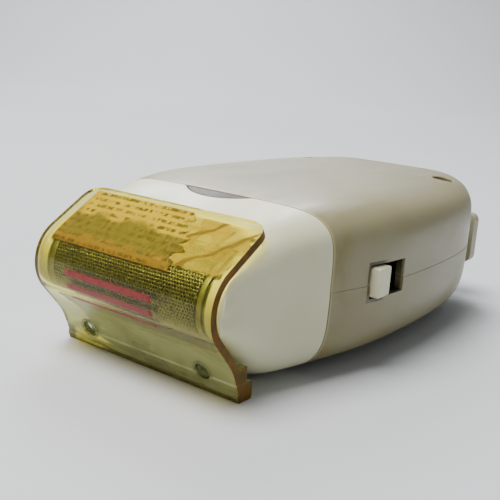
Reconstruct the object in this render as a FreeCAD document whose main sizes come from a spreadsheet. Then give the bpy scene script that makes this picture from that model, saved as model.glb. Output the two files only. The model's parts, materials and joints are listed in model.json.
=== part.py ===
"""Electric foil shaver with an ivory head, beige shells, a clear head guard and an oscillating armature.

Millimetres. +Z is up and the belly lies on Z = 0. -Y is the front, where the foil is, and +X is the side
with the switch. The origin is on the floor plane, under the middle of the overall box.
"""
import FreeCAD
import Part
import functools
import math
import os
import re

from FreeCAD import Placement, Rotation, Vector

SIZES = {
    # overall
    "overall_length": 117.0,
    "body_width": 68.0,
    "body_height": 35.7,
    "parting_height": 19.0,
    "head_length": 29.4,
    "tail_roundness": 3.47,
    "tail_edge": 5.6,
    "top_roundness": 5.57,
    "belly_roundness": 3.87,
    "belly_clip": 0.35,
    "widest_station": 53.0,
    "nose_straight": 3.0,
    "head_drop": 4.1,
    "drop_station": 15.7,
    "drop_length": 39.3,
    "drop_power": 3.2,
    "head_rise": 4.26,
    "rise_setback": 4.4,
    "rise_length": 12.0,
    "rise_power": 2.5,
    "rise_bend": 1.25,
    "rise_slope": 2.2,
    "tail_pinch": 0.75,
    "wall": 2.0,
    "head_wall": 1.8,
    "seam_gap": 0.2,
    # cutting tools: a length longer than any part, and how far the window's outline runs past the nose
    "through": 40.0,
    "window_overcut": 4.0,
    "window_ahead": 8.0,
    # nose: guard, foil and cutter share one arc centre
    "nose_width": 49.6,
    "guard_width": 48.0,
    "guard_radius": 9.0,
    "guard_thickness": 1.6,
    "guard_gap": 0.35,
    "nose_height": 18.9,
    "wing_angle": 32.0,
    "wing_length": 13.3,
    "chin_angle": 50.0,
    "chin_length": 6.5,
    "flange_angle": 68.0,
    "flange_hollow": 10.0,
    "bead_depth": 3.0,
    "bead_height": 3.8,
    "bead_setback": 0.3,
    "lug_width": 1.8,
    "lug_depth": 2.2,
    "lug_height": 3.7,
    "stud_radius": 2.0,
    "stud_play": 0.05,
    "stud_dimple": 0.35,
    "stud_tail": 0.9,
    "stud_spacing": 32.0,
    "stud_height": 4.5,
    "label_width": 44.0,
    "label_length": 10.5,
    "label_margin": 1.2,
    "paper": 0.12,
    "foil_length": 41.2,
    "foil_thickness": 0.15,
    "foil_upper": 6.0,
    "foil_lower": 4.6,
    "head_chin_angle": 45.0,
    "window_play": 0.1,
    "end_plate": 0.7,
    "end_play": 0.05,
    "end_inset": 0.6,
    "end_return": 2.6,
    "end_eye_radius": 1.5,
    # cutter
    "blade_radius": 6.75,
    "blade_thickness": 0.3,
    "blade_pitch": 1.4,
    "blade_count": 25,
    "blade_back": 1.0,
    "carrier_front": 3.0,
    "carrier_depth": 6.0,
    "carrier_height": 5.0,
    "leaf_station": 3.4,
    "leaf_spacing": 22.0,
    "leaf_length": 6.0,
    "leaf_height": 4.0,
    "leaf_thickness": 0.3,
    "drive_pin_radius": 1.35,
    "drive_pin_play": 0.15,
    "drive_pin_rise": 0.6,
    "drive_pin_length": 10.0,
    "drive_pin_root": 4.0,
    "drive_pin_shank": 1.15,
    # head base and catch
    "base_station": 25.5,
    "base_thickness": 2.0,
    "base_play": 0.15,
    "base_foot": 0.5,
    "base_headroom": 3.6,
    "lever_window_width": 18.0,
    "lever_window_height": 9.0,
    "peg_spacing": 30.0,
    "peg_drop": 7.0,
    "peg_radius": 2.0,
    "peg_length": 6.0,
    "peg_play": 0.15,
    "catch_chord": 18.0,
    "catch_depth": 3.8,
    "catch_gap": 0.3,
    "catch_recess": 0.1,
    "catch_thickness": 4.7,
    "catch_reach": 2.0,
    "catch_arm_width": 10.0,
    "catch_arm_length": 10.0,
    "catch_arm_thickness": 2.0,
    "catch_arm_level": 4.4,
    "catch_arm_play": 0.4,
    "catch_arm_sink": 1.2,
    "catch_spring_radius": 2.2,
    "catch_spring_turns": 3.0,
    "catch_spring_setback": 5.0,
    "catch_wire": 0.35,
    # bulkhead and drive
    "bulkhead_station": 30.4,
    "bulkhead_thickness": 2.0,
    "bulkhead_play": 0.1,
    "bulkhead_foot": 0.5,
    "bulkhead_headroom": 8.2,
    "spring_shelf_width": 8.0,
    "spring_shelf_depth": 6.0,
    "spring_shelf_level": 4.6,
    "spring_shelf": 1.2,
    "seal_width": 14.0,
    "seal_height": 10.0,
    "seal_thickness": 1.4,
    "pivot_station": 60.0,
    "pivot_radius": 1.5,
    "pivot_play": 0.05,
    "lever_width": 4.0,
    "lever_thickness": 3.0,
    "lever_front": 7.0,
    "lever_tail": 6.0,
    "lever_play": 1.4,
    "lever_lift": 0.8,
    "seal_play": 1.1,
    "seal_lift": 0.4,
    "hub_radius": 4.0,
    "hub_height": 8.0,
    "armature_width": 14.0,
    "armature_length": 12.0,
    "armature_setback": 4.6,
    "bush_radius": 2.6,
    "bush_collar": 1.5,
    "return_spring": 0.4,
    "return_spring_height": 5.2,
    "return_spring_gap": 1.6,
    "return_spring_end": 7.0,
    "core_height": 14.0,
    "air_gap": 1.6,
    "pole_width": 6.0,
    "core_length": 28.0,
    "core_setback": 4.0,
    "yoke_depth": 6.0,
    "winding_thickness": 3.9,
    "bobbin_wall": 0.8,
    "bobbin_play": 0.3,
    "coil_reveal": 0.5,
    "frame_width": 37.0,
    "frame_floor": 5.5,
    "frame_front": 7.0,
    "frame_gap": 0.3,
    "front_screw_offset": 12.5,
    "front_screw_setback": -3.0,
    "rear_screw_offset": 16.0,
    "rear_screw_setback": 20.0,
    "upright_thickness": 2.4,
    "upright_front": 5.0,
    "upright_back": 3.0,
    "bridge_level": 28.0,
    "bridge_depth": 10.0,
    "bridge_screw_setback": -1.0,
    "bridge_screw": 0.7,
    "bridge_head": 1.4,
    "bridge_head_height": 1.0,
    "plate": 1.5,
    "pad_size": 4.0,
    "small_screw": 1.2,
    "thread_play": 0.1,
    "pan_radius": 2.2,
    "pan_height": 1.4,
    "post_radius": 3.0,
    "post_bore_start": 2.0,
    "screw_root": 3.0,
    "stator_screw_root": 0.5,
    "stator_pan_radius": 2.1,
    "capacitor_radius": 5.0,
    "capacitor_length": 20.0,
    "capacitor_offset": 25.5,
    "capacitor_setback": 4.0,
    "lead_radius": 0.7,
    "lead_bend": 1.4,
    "lead_clearance": 2.3,
    "lead_turn_setback": 5.5,
    # switch
    "slot_length": 12.0,
    "slot_height": 7.2,
    "slot_reach": 8.0,
    "slot_station": 40.2,
    "switch_level": 19.7,
    "knob_length": 4.8,
    "knob_proud": 0.5,
    "knob_gap": 0.4,
    "knob_edge": 0.5,
    "knob_root": 6.6,
    "carriage_overlap": 7.4,
    "carriage_height_overlap": 2.4,
    "carriage_thickness": 1.5,
    "contact_thickness": 0.8,
    "contact_inset": 0.6,
    "contact_height": 4.0,
    "contact_width": 2.4,
    "contact_gap": 0.5,
    "contact_pitch": 5.6,
    "switch_base_overlap": 3.4,
    "switch_base_height_overlap": 2.0,
    "switch_base_thickness": 3.6,
    # rear
    "plate_proud": 5.2,
    "inlet_width": 49.0,
    "inlet_height": 14.2,
    "inlet_level": 16.7,
    "inlet_plate": 3.2,
    "inlet_edge": 2.2,
    "inlet_neck": 2.2,
    "inlet_neck_length": 10.5,
    "inlet_fit": 0.1,
    "socket_width": 20.0,
    "socket_height": 9.0,
    "socket_depth": 9.0,
    "inlet_pin_radius": 1.2,
    "inlet_pin_length": 7.2,
    "inlet_pin_shank": 1.0,
    "inlet_pin_root": 14.5,
    "inlet_pin_spacing": 10.0,
    "screw_inset": 12.2,
    "boss_wall": 1.3,
    "screw_head_height": 1.8,
    "screw_head_play": 0.3,
    "screw_tip_level": 9.0,
    "screw_station": 94.5,
    "screw_recess_radius": 2.7,
    "screw_recess_depth": 11.0,
    "groove_length": 26.0,
    "groove_width": 1.0,
    "groove_setback": 7.2,
    "groove_floor": 1.8,
}

doc = FreeCAD.newDocument("shaver")
sheet = doc.addObject("Spreadsheet::Sheet", "sizes")
for row, (alias, value) in enumerate(SIZES.items(), start=1):
    sheet.set("A%d" % row, alias)
    sheet.set("B%d" % row, str(value))
    sheet.setAlias("B%d" % row, alias)
doc.recompute()

FRONT = "(-overall_length / 2)"
SEAM = "(-overall_length / 2 + head_length)"
TAIL = "(overall_length / 2 - plate_proud)"
PIVOT = "(-overall_length / 2 + pivot_station)"
BULKHEAD = "(-overall_length / 2 + bulkhead_station)"
NOSE_Y = "(-overall_length / 2 + guard_radius)"
CORE_LOW = "(nose_height - core_height / 2)"
CORE_HIGH = "(nose_height + core_height / 2)"
CORE_BACK = "(-overall_length / 2 + pivot_station + core_setback + core_length)"
SECTION_POINTS = 48
BEYOND = 60.0

parts = []


def value(formula):
    """Number that a formula of alias names gives with the sheet's present values."""
    text = re.sub(r"[A-Za-z_]\w*", lambda m: "(%s)" % sheet.get(m.group(0)), formula)
    return float(FreeCAD.Units.Quantity(text).Value)


def bind(item, prop, formula):
    """Tie a property to a formula whose names are aliases of the sheet."""
    item.setExpression(prop, re.sub(r"[A-Za-z_]\w*", lambda m: "sizes." + m.group(0), formula))


def keep(item, label):
    """Name a finished sub-part; its label is also its file's name."""
    item.Label = label
    parts.append(item)
    return item


def box(x, y, z):
    """Block between two formulas on each axis."""
    block = doc.addObject("Part::Box", "block")
    for size, axis, (low, high) in zip(("Length", "Width", "Height"), "xyz", (x, y, z)):
        bind(block, size, "(%s) - (%s)" % (high, low))
        bind(block, "Placement.Base." + axis, low)
    return block


def block_across(half_width, y, z):
    """Block centred on X = 0."""
    return box(("-(%s)" % half_width, half_width), y, z)


TURNS = {
    "x": Rotation(Vector(0, 1, 0), 90),
    "y": Rotation(Vector(1, 0, 0), -90),
    "z": Rotation(),
}


def rod(along, start, radius, length):
    """Cylinder that runs from start in the positive direction of one axis."""
    cylinder = doc.addObject("Part::Cylinder", "rod")
    cylinder.Placement = Placement(Vector(), TURNS[along])
    bind(cylinder, "Radius", radius)
    bind(cylinder, "Height", length)
    for axis, place in zip("xyz", start):
        bind(cylinder, "Placement.Base." + axis, place)
    return cylinder


def joined(*items):
    """Union of several shapes, or a group where they stand apart."""
    fuse = doc.addObject("Part::MultiFuse", "joined")
    fuse.Shapes = list(items)
    return fuse


def cut(base, *tools):
    """Base with the tools taken away."""
    result = doc.addObject("Part::Cut", "cut")
    result.Base = base
    result.Tool = tools[0] if len(tools) == 1 else joined(*tools)
    return result


def shared(*items):
    """Volume that all the shapes have in common."""
    common = doc.addObject("Part::MultiCommon", "shared")
    common.Shapes = list(items)
    return common


def solid(shape):
    """Document object that holds a shape made by formula."""
    item = doc.addObject("Part::Feature", "formed")
    item.Shape = shape
    return item


def mirrored_pair(make):
    """The same thing on the left and on the right."""
    return joined(make("-"), make(""))


# ---------------------------------------------------------------- outer form


def half_width(station):
    """Half-width of the plan at a distance behind the front, before the inset."""
    nose, body, widest = value("nose_width / 2"), value("body_width / 2"), value("widest_station")
    if station <= widest:
        straight = value("nose_straight")
        u = max(0.0, (station - straight) / (widest - straight))
        return nose + (body - nose) * (3 * u ** 2 - 2 * u ** 3)
    v = (station - widest) / (tail_station() - widest)
    power = value("tail_roundness")
    return body * (1 - v ** power) ** (1 / power)


def tail_station():
    return value("overall_length - plate_proud")


def top_height(station):
    """Height of the crown: it falls towards the nose."""
    u = (station - value("drop_station")) / value("drop_length")
    return value("body_height") - value("head_drop") * max(0.0, 1 - u) ** value("drop_power")


def belly_height(station):
    """Height of the underside: flat, then rising under the nose."""
    t = max(0.0, (value("head_length - rise_setback") - station) / value("rise_length"))
    bend = value("rise_bend")
    curve = min(t, bend) ** value("rise_power") + value("rise_slope") * max(0.0, t - bend)
    return value("head_rise") * curve - value("belly_clip")


def section(station, inset):
    """Closed curve round the body at one station: a superellipse, blunter above than below."""
    tail = tail_station()
    edge = value("tail_edge")
    past = max(0.0, (station - (tail - edge)) / edge)
    pinch = math.sqrt(1 - value("tail_pinch") * past ** 2)
    middle = value("parting_height")
    wide = half_width(station) - inset
    up = (top_height(station) - middle - inset) * pinch
    down = (middle - belly_height(station) - inset) * pinch
    points = []
    for step in range(SECTION_POINTS):
        angle = 2 * math.pi * step / SECTION_POINTS
        c, s = math.cos(angle), math.sin(angle)
        blunt = value("top_roundness") if s > 0 else value("belly_roundness")
        height = up if s > 0 else down
        reach = (abs(c / wide) ** blunt + abs(s / height) ** blunt) ** (-1 / blunt)
        points.append(Vector(reach * c, value(FRONT) + station, middle + reach * s))
    curve = Part.BSplineCurve()
    curve.interpolate(points, PeriodicFlag=True)
    return Part.Wire(curve.toShape())


@functools.cache
def form(inset):
    """Smooth closed form of the whole shaver, inset evenly from the outside."""
    tail, widest = tail_station(), value("widest_station")
    stations = [1.0, 5.0, 9.0, 13.0, 17.0, 21.0, 25.0, 30.0, 36.0, 44.0, widest]
    stations += [widest + (tail - widest) * math.sin(math.radians(a)) ** (2 / value("tail_roundness"))
                 for a in (12, 22, 32, 42, 52, 61, 69, 76, 82)]
    wires = []
    for station in stations:
        shrink = inset * (station - widest) / (tail - widest) if station > widest else 0.0
        wire = section(station, inset)
        wire.translate(Vector(0, -shrink, 0))
        wires.append(wire)
    return Part.makeLoft(wires, True, False)


# ---------------------------------------------------------------- nose profile


def point(y, z):
    return Vector(0, y, z)


def nose_path(inset, chin_angle, upper, lower, flange=False):
    """Line, arc, line (and hollow arc, line) in the YZ plane, inset from the guard's outside."""
    centre = point(value(NOSE_Y), value("nose_height"))
    radius = value("guard_radius") - inset
    up, down = math.radians(value("wing_angle")), math.radians(chin_angle)
    top_out = point(-math.sin(up), math.cos(up))
    low_out = point(-math.sin(down), -math.cos(down))
    top_start = centre + top_out * radius
    low_start = centre + low_out * radius
    low_end = low_start + point(math.cos(down), -math.sin(down)) * lower
    path = [
        Part.LineSegment(top_start + point(math.cos(up), math.sin(up)) * upper, top_start),
        Part.Arc(top_start, centre + point(-radius, 0), low_start),
        Part.LineSegment(low_start, low_end),
    ]
    if flange:
        hollow = value("flange_hollow")
        steep = math.radians(value("flange_angle"))
        middle = (down + steep) / 2
        pivot = low_end + low_out * (hollow + inset)
        spots = [pivot + point(math.sin(a), math.cos(a)) * (hollow + inset) for a in (middle, steep)]
        foot = spots[1] + point(math.cos(steep), -math.sin(steep)) * (spots[1].z / math.sin(steep))
        path.append(Part.Arc(low_end, spots[0], spots[1]))
        path.append(Part.LineSegment(spots[1], foot))
    return path


def ends(path):
    """First and last point of a path of edges."""
    return path[0].StartPoint, path[-1].EndPoint


def strip(outer, inner):
    """Outline between two matching paths."""
    (a, b), (c, d) = ends(outer), ends(inner)
    return outer + [Part.LineSegment(b, d)] + inner + [Part.LineSegment(c, a)]


def extruded(outline, width):
    """Body padded from an outline in the YZ plane, equally to both sides of X = 0."""
    body = doc.addObject("PartDesign::Body", "body")
    sketch = body.newObject("Sketcher::SketchObject", "outline")
    plane = [f for f in body.Origin.OriginFeatures if f.Role == "YZ_Plane"][0]
    sketch.AttachmentSupport = [(plane, "")]
    sketch.MapMode = "FlatFace"
    for edge in outline:
        flat = edge.copy()
        flat.rotate(Placement(Vector(), Rotation(Vector(1, 1, 1), -120)))
        sketch.addGeometry(flat, False)
    pad = body.newObject("PartDesign::Pad", "pad")
    pad.Profile = sketch
    pad.Midplane = True
    bind(pad, "Length", width)
    doc.recompute()
    return body


def polygon(corners, low, high):
    """Block with a polygon outline of (Y, Z) formulas, between two X formulas."""
    spots = [point(value(y), value(z)) for y, z in corners]
    face = Part.Face(Part.makePolygon(spots + spots[:1]))
    face.translate(Vector(value(low), 0, 0))
    return face.extrude(Vector(value(high) - value(low), 0, 0))


def behind_nose(inset, chin_angle, width):
    """Everything behind the nose profile, out to a half-width."""
    path = nose_path(inset, chin_angle, BEYOND, BEYOND)
    start, end = ends(path)
    back = value(TAIL) + BEYOND
    low, high = point(back, end.z), point(back, start.z)
    path += [Part.LineSegment(end, low), Part.LineSegment(low, high), Part.LineSegment(high, start)]
    face = Part.Face(Part.Wire(Part.__sortEdges__([e.toShape() for e in path])))
    face.translate(Vector(-width, 0, 0))
    return face.extrude(Vector(2 * width, 0, 0))


def slab(y, z):
    """Wide block that keeps a stretch of the form."""
    return Part.makeBox(400, value(y[1]) - value(y[0]), value(z[1]) - value(z[0]),
                        Vector(-200, value(y[0]), value(z[0])))


# ---------------------------------------------------------------- head


HEAD_INSET = value("guard_thickness + guard_gap")
HEAD_CHIN = value("head_chin_angle")
BASE = "(-overall_length / 2 + base_station)"


def make_head_frame():
    """Ivory shell with a window for the foil and a notch for the catch."""
    inset, chin, wall = HEAD_INSET, HEAD_CHIN, value("head_wall")
    rear = value(SEAM + " - seam_gap / 2")
    reach = slab((FRONT + " - 5", "%r" % rear), ("0", "body_height + 5"))
    outside = form(0.0).common(behind_nose(inset, chin, BEYOND)).common(reach)
    hollow = form(wall).common(behind_nose(inset + wall, chin, BEYOND)).common(
        slab((FRONT + " - 5", SEAM + " + 5"), ("0", "body_height + 5")))
    centre = point(value(NOSE_Y), value("nose_height"))
    path = nose_path(inset, chin, value("foil_upper + 2 * window_play"),
                     value("foil_lower + 2 * window_play"))
    start, end = ends(path)
    up, down = math.radians(value("wing_angle")), math.radians(chin)
    lift, sink = point(-math.sin(up), math.cos(up)), point(-math.sin(down), -math.cos(down))
    over, ahead = value("window_overcut"), value(FRONT + " - window_ahead")
    corners = [start - lift * over, start + lift * over, point(ahead, value("through")), point(ahead, 0),
               end + sink * over, end - sink * over, centre]
    face = Part.Face(Part.makePolygon(corners + corners[:1]))
    half = value("foil_length / 2 + end_plate + window_play")
    face.translate(Vector(-half, 0, 0))
    window = face.extrude(Vector(2 * half, 0, 0))
    return outside.cut(hollow).cut(window).cut(
        catch_outline(value("catch_gap"), SEAM + " + 5", 20.0, 60.0))


def catch_outline(gap, rear, low, high):
    """Upright disc cut off straight at the rear: a bowed front side that meets the seam."""
    half, depth = value("catch_chord / 2"), value("catch_depth")
    bow = (half ** 2 + depth ** 2) / (2 * depth)
    disc = Part.makeCylinder(bow + gap, high - low, Vector(0, value(SEAM) - depth + bow, low))
    return disc.common(slab((SEAM + " - 20", rear), ("%r" % (low - 1), "%r" % (high + 1))))


keep(solid(make_head_frame()), "head_frame")

base_plate = form(value("head_wall + base_play")).common(
    slab((BASE, BASE + " + base_thickness"),
         ("base_foot", "body_height - catch_thickness - base_headroom")))
lever_window = block_across("lever_window_width / 2", (BASE + " - 1", BASE + " + base_thickness + 1"),
                            ("nose_height - lever_window_height / 2",
                             "nose_height + lever_window_height / 2"))
peg_holes = mirrored_pair(lambda side: rod(
    "y", (side + "peg_spacing / 2", BASE + " - 1", "nose_height - peg_drop"), "peg_radius + peg_play",
    "base_thickness + 2"))
keep(cut(solid(base_plate), lever_window, peg_holes), "head_base")

foil_out = nose_path(HEAD_INSET, HEAD_CHIN, value("foil_upper"), value("foil_lower"))
foil_in = nose_path(value("guard_thickness + guard_gap + foil_thickness"), HEAD_CHIN, value("foil_upper"),
                    value("foil_lower"))
keep(extruded(strip(foil_out, foil_in), "foil_length"), "shaver_foil")


def end_plate(side):
    """D-shaped plate that closes one end of the foil, with an eye for its pin."""
    inset = value("guard_thickness + guard_gap + foil_thickness + end_play")
    path = nose_path(inset, HEAD_CHIN, value("foil_upper - end_inset"), value("foil_lower - end_inset"))
    start, end = ends(path)
    up, down = math.radians(value("wing_angle")), math.radians(HEAD_CHIN)
    behind_start = start - point(-math.sin(up), math.cos(up)) * value("end_return")
    behind_end = end - point(-math.sin(down), -math.cos(down)) * value("end_return")
    path += [Part.LineSegment(end, behind_end), Part.LineSegment(behind_end, behind_start),
             Part.LineSegment(behind_start, start)]
    face = Part.Face(Part.Wire(Part.__sortEdges__([e.toShape() for e in path])))
    eye = Part.Face(Part.Wire(Part.Circle(point(value(NOSE_Y), value("nose_height")), Vector(1, 0, 0),
                                          value("end_eye_radius")).toShape()))
    thick = value("end_plate")
    plate = face.cut(eye)
    plate.translate(Vector(side * value("foil_length / 2 + end_plate / 2 + end_play") - thick / 2, 0, 0))
    return plate.extrude(Vector(thick, 0, 0))


keep(solid(end_plate(-1)), "foil_end_left")
keep(solid(end_plate(1)), "foil_end_right")

# ---------------------------------------------------------------- guard


guard_outline = strip(nose_path(0.0, value("chin_angle"), value("wing_length"), value("chin_length"), True),
                      nose_path(value("guard_thickness"), value("chin_angle"), value("wing_length"),
                                value("chin_length"), True))
FLANGE_FOOT = guard_outline[4].EndPoint.y
guard_sheet = extruded(guard_outline, "guard_width")
foot = solid(Part.makeBox(value("guard_width"), value("bead_depth"), value("bead_height"),
                          Vector(-value("guard_width / 2"), FLANGE_FOOT + value("bead_setback"), 0)))
lug = solid(Part.makeBox(value("lug_width"), value("lug_depth"), value("lug_height"),
                         Vector(value("guard_width / 2 - lug_width"), FLANGE_FOOT - value("lug_depth / 3"),
                                value("bead_height") - 0.5)))
steep = math.radians(value("flange_angle"))
STUD_Y = FLANGE_FOOT - value("stud_height") / math.tan(steep)


def stud_shape(radius, low, high):
    """Two pins square to the flange, from low to high behind its outer face."""
    away = point(math.sin(steep), math.cos(steep))
    both = []
    for side in (-1, 1):
        seat = Vector(side * value("stud_spacing / 2"), STUD_Y, value("stud_height")) + away * low
        both.append(Part.makeCylinder(radius, high - low, seat, away))
    return Part.makeCompound(both)


stud_bore = solid(stud_shape(value("stud_radius"), -1.0, value("guard_thickness") + 1.0))
keep(cut(joined(guard_sheet, foot, lug), stud_bore), "head_guard")
keep(solid(stud_shape(value("stud_radius - stud_play"), value("stud_dimple"),
                      value("guard_thickness + stud_tail"))), "guard_studs")



def label_line(inset):
    """Straight run of the label down the wing, at a depth below the guard's outside."""
    wing = nose_path(inset, value("chin_angle"), value("wing_length - label_margin"), value("chin_length"))[0]
    along = (wing.EndPoint - wing.StartPoint).normalize()
    return [Part.LineSegment(wing.StartPoint, wing.StartPoint + along * value("label_length"))]


keep(extruded(strip(label_line(value("guard_thickness")), label_line(value("guard_thickness + paper"))),
              "label_width"), "guard_label")

# ---------------------------------------------------------------- cutter


def blade(place):
    """Thin D-shaped blade whose round edge runs under the foil."""
    centre = Vector(place - value("blade_thickness / 2"), value(NOSE_Y), value("nose_height"))
    disc = Part.makeCylinder(value("blade_radius"), value("blade_thickness"), centre, Vector(1, 0, 0))
    return disc.cut(slab((NOSE_Y + " + blade_back", NOSE_Y + " + guard_radius * 2"), ("0", "body_height")))


count = int(value("blade_count"))
places = [(i - (count - 1) / 2) * value("blade_pitch") for i in range(count)]
blades = solid(Part.makeCompound([blade(place) for place in places]))
keep(blades, "cutter_blades")
carrier = cut(block_across("blade_pitch * blade_count / 2",
                           (NOSE_Y + " - carrier_front", NOSE_Y + " - carrier_front + carrier_depth"),
                           ("nose_height - carrier_height / 2", "nose_height + carrier_height / 2")),
              block_across("drive_pin_radius + drive_pin_play", (NOSE_Y, NOSE_Y + " + carrier_depth"),
                           ("nose_height - drive_pin_radius - drive_pin_rise",
                            "nose_height + drive_pin_radius + drive_pin_rise")),
              blades)
keep(carrier, "cutter_carrier")
keep(mirrored_pair(lambda side: box((side + "leaf_spacing / 2 - leaf_length / 2",
                                     side + "leaf_spacing / 2 + leaf_length / 2"),
                                    (NOSE_Y + " + leaf_station", NOSE_Y + " + leaf_station + leaf_thickness"),
                                    ("nose_height - leaf_height / 2", "nose_height + leaf_height / 2"))),
     "cutter_leaf_springs")

# ---------------------------------------------------------------- housings


def shell(low, high):
    """One half of the beige case: the form less its inside, between two heights."""
    part_of = slab((SEAM + " + seam_gap / 2", TAIL + " + plate_proud"), (low, high))
    return form(0.0).cut(form(value("wall"))).common(part_of)


SCREW_X = "(body_width / 2 - screw_inset)"
SCREW_Y = "(-overall_length / 2 + screw_station)"
SLOT = "(-overall_length / 2 + slot_station)"


def at_screws(start, radius, length):
    """A pair of upright cylinders on the two rear screw axes."""
    return mirrored_pair(lambda side: rod("z", (side + SCREW_X, SCREW_Y, start), radius, length))


def slot_tool():
    """Opening for the switch knob through the right wall."""
    return box(("body_width / 2 - slot_reach", "body_width / 2 + slot_reach"), (SLOT, SLOT + " + slot_length"),
               ("switch_level - slot_height / 2", "switch_level + slot_height / 2"))


def inlet_tool():
    """Opening for the inlet's neck through the rear wall."""
    return block_across("inlet_width / 2 - inlet_neck + inlet_fit", (TAIL + " - 14", TAIL + " + 10"),
                        ("inlet_level - inlet_height / 2 + inlet_neck - inlet_fit",
                         "inlet_level + inlet_height / 2 - inlet_neck + inlet_fit"))



def beside(depth):
    """Soft limit for bosses and posts: the form, some way inside the shells."""
    return solid(form(value(depth)))


upper_bosses = shared(at_screws("parting_height", "screw_recess_radius + boss_wall",
                                "body_height - parting_height"), beside("wall / 2"))
arm_slot = block_across("catch_arm_width / 2 + catch_arm_play",
                        (SEAM + " - catch_reach - 1", SEAM + " + catch_arm_length + catch_arm_play + 1.6"),
                        ("body_height - catch_arm_level - catch_arm_thickness - catch_arm_sink",
                         "body_height - catch_arm_level + catch_arm_play + 0.1"))
groove = block_across("groove_length / 2",
                      (TAIL + " - groove_setback", TAIL + " - groove_setback + groove_width"),
                      ("body_height - groove_floor", "body_height + 3"))
upper = cut(joined(solid(shell("parting_height", "body_height + 5")), upper_bosses),
            at_screws("body_height - screw_recess_depth", "screw_recess_radius", "screw_recess_depth + 5"),
            at_screws("parting_height - 1", "small_screw + screw_head_play", "body_height - parting_height"),
            slot_tool(), inlet_tool(), arm_slot, groove)
keep(upper, "upper_housing")

FRAME_SCREW_SPOTS = [(side + row + "_screw_offset", row + "_screw_setback")
                     for row in ("front", "rear") for side in ("-", "")]


def at_frame(start, radius, length):
    """Four upright cylinders on the motor frame's screw axes."""
    return joined(*[rod("z", (x, PIVOT + " + (" + y + ")", start), radius, length)
                    for x, y in FRAME_SCREW_SPOTS])


floor_posts = joined(at_frame("wall / 2", "post_radius", "frame_floor - wall / 2"),
                     at_screws("wall / 2", "screw_recess_radius + boss_wall", "parting_height - wall / 2"))
posts_inside = shared(floor_posts, beside("wall / 2"))
lower = cut(joined(solid(shell("0", "parting_height")), posts_inside),
            at_frame("post_bore_start", "small_screw", "parting_height"),
            at_screws("screw_tip_level - 1", "small_screw", "parting_height"), slot_tool(), inlet_tool())
keep(lower, "lower_housing")
keep(joined(at_screws("screw_tip_level", "small_screw", "body_height - screw_recess_depth - screw_tip_level"),
            at_screws("body_height - screw_recess_depth", "screw_recess_radius - screw_head_play",
                      "screw_head_height")), "housing_screws")


def lever_passage(aside, lift):
    """Opening round the lever, with room to swing."""
    return block_across("lever_width / 2 + " + aside,
                        (BULKHEAD + " - seal_thickness - 1", BULKHEAD + " + bulkhead_thickness + 1"),
                        ("nose_height - lever_thickness / 2 - " + lift,
                         "nose_height + lever_thickness / 2 + " + lift))


bulk = form(value("wall + bulkhead_play")).common(
    slab((BULKHEAD, BULKHEAD + " + bulkhead_thickness"),
         ("bulkhead_foot", "body_height - bulkhead_headroom")))
pegs = mirrored_pair(lambda side: rod("y", (side + "peg_spacing / 2", BULKHEAD + " - peg_length + 0.5",
                                            "nose_height - peg_drop"), "peg_radius", "peg_length"))
spring_shelf = block_across("spring_shelf_width / 2",
                            (BULKHEAD + " + bulkhead_thickness - 0.5",
                             BULKHEAD + " + bulkhead_thickness + spring_shelf_depth"),
                            ("nose_height + spring_shelf_level - spring_shelf",
                             "nose_height + spring_shelf_level"))
keep(cut(joined(solid(bulk), pegs, spring_shelf), lever_passage("lever_play", "lever_lift")), "bulkhead")
keep(cut(block_across("seal_width / 2", (BULKHEAD + " - seal_thickness", BULKHEAD),
                      ("nose_height - seal_height / 2", "nose_height + seal_height / 2")),
         lever_passage("seal_play", "seal_lift")), "lever_seal")

# ---------------------------------------------------------------- catch

catch_button = solid(catch_outline(0.0, SEAM + " - seam_gap", value("body_height - catch_thickness"),
                                   value("body_height")).common(form(value("catch_recess"))))
catch_arm = block_across("catch_arm_width / 2", (SEAM + " - catch_reach", SEAM + " + catch_arm_length - 1"),
                         ("body_height - catch_arm_level - catch_arm_thickness",
                          "body_height - catch_arm_level"))
keep(joined(catch_button, catch_arm), "head_catch")


def coil(radius, wire, low, high, turns, spot):
    """Helical spring, upright."""
    path = Part.makeHelix((high - low - 2 * wire) / turns, high - low - 2 * wire, radius)
    ring = Part.Wire(Part.Circle(Vector(radius, 0, 0), Vector(0, 1, 0), wire).toShape())
    spring = Part.Wire(path).makePipeShell([ring], True, True)
    spring.translate(spot + Vector(0, 0, low + wire))
    return spring


keep(solid(coil(value("catch_spring_radius"), value("catch_wire"), value("nose_height + spring_shelf_level"),
                value("body_height - catch_arm_level - catch_arm_thickness"), value("catch_spring_turns"),
                Vector(0, value(BULKHEAD + " + catch_spring_setback"), 0))), "catch_spring")

# ---------------------------------------------------------------- motor

STATOR_X = "(armature_width / 2 + air_gap + pole_width / 2)"
STATOR_SPOTS = [(side, spot) for side in ("-", "")
                for spot in (" - yoke_depth / 2", " - core_length + core_setback")]
UPRIGHT_X = "(frame_width / 2 - upright_thickness / 2)"
BRIDGE_TOP = "(bridge_level + plate)"


def at_stator(start, radius, length):
    """Four upright cylinders on the stator screws' axes."""
    return joined(*[rod("z", (side + STATOR_X, CORE_BACK + spot, start), radius, length)
                    for side, spot in STATOR_SPOTS])


def at_uprights(start, radius, length):
    """Two upright cylinders on the bridge screws' axes."""
    return mirrored_pair(lambda side: rod("z", (side + UPRIGHT_X, PIVOT + " + bridge_screw_setback", start),
                                          radius, length))


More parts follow.
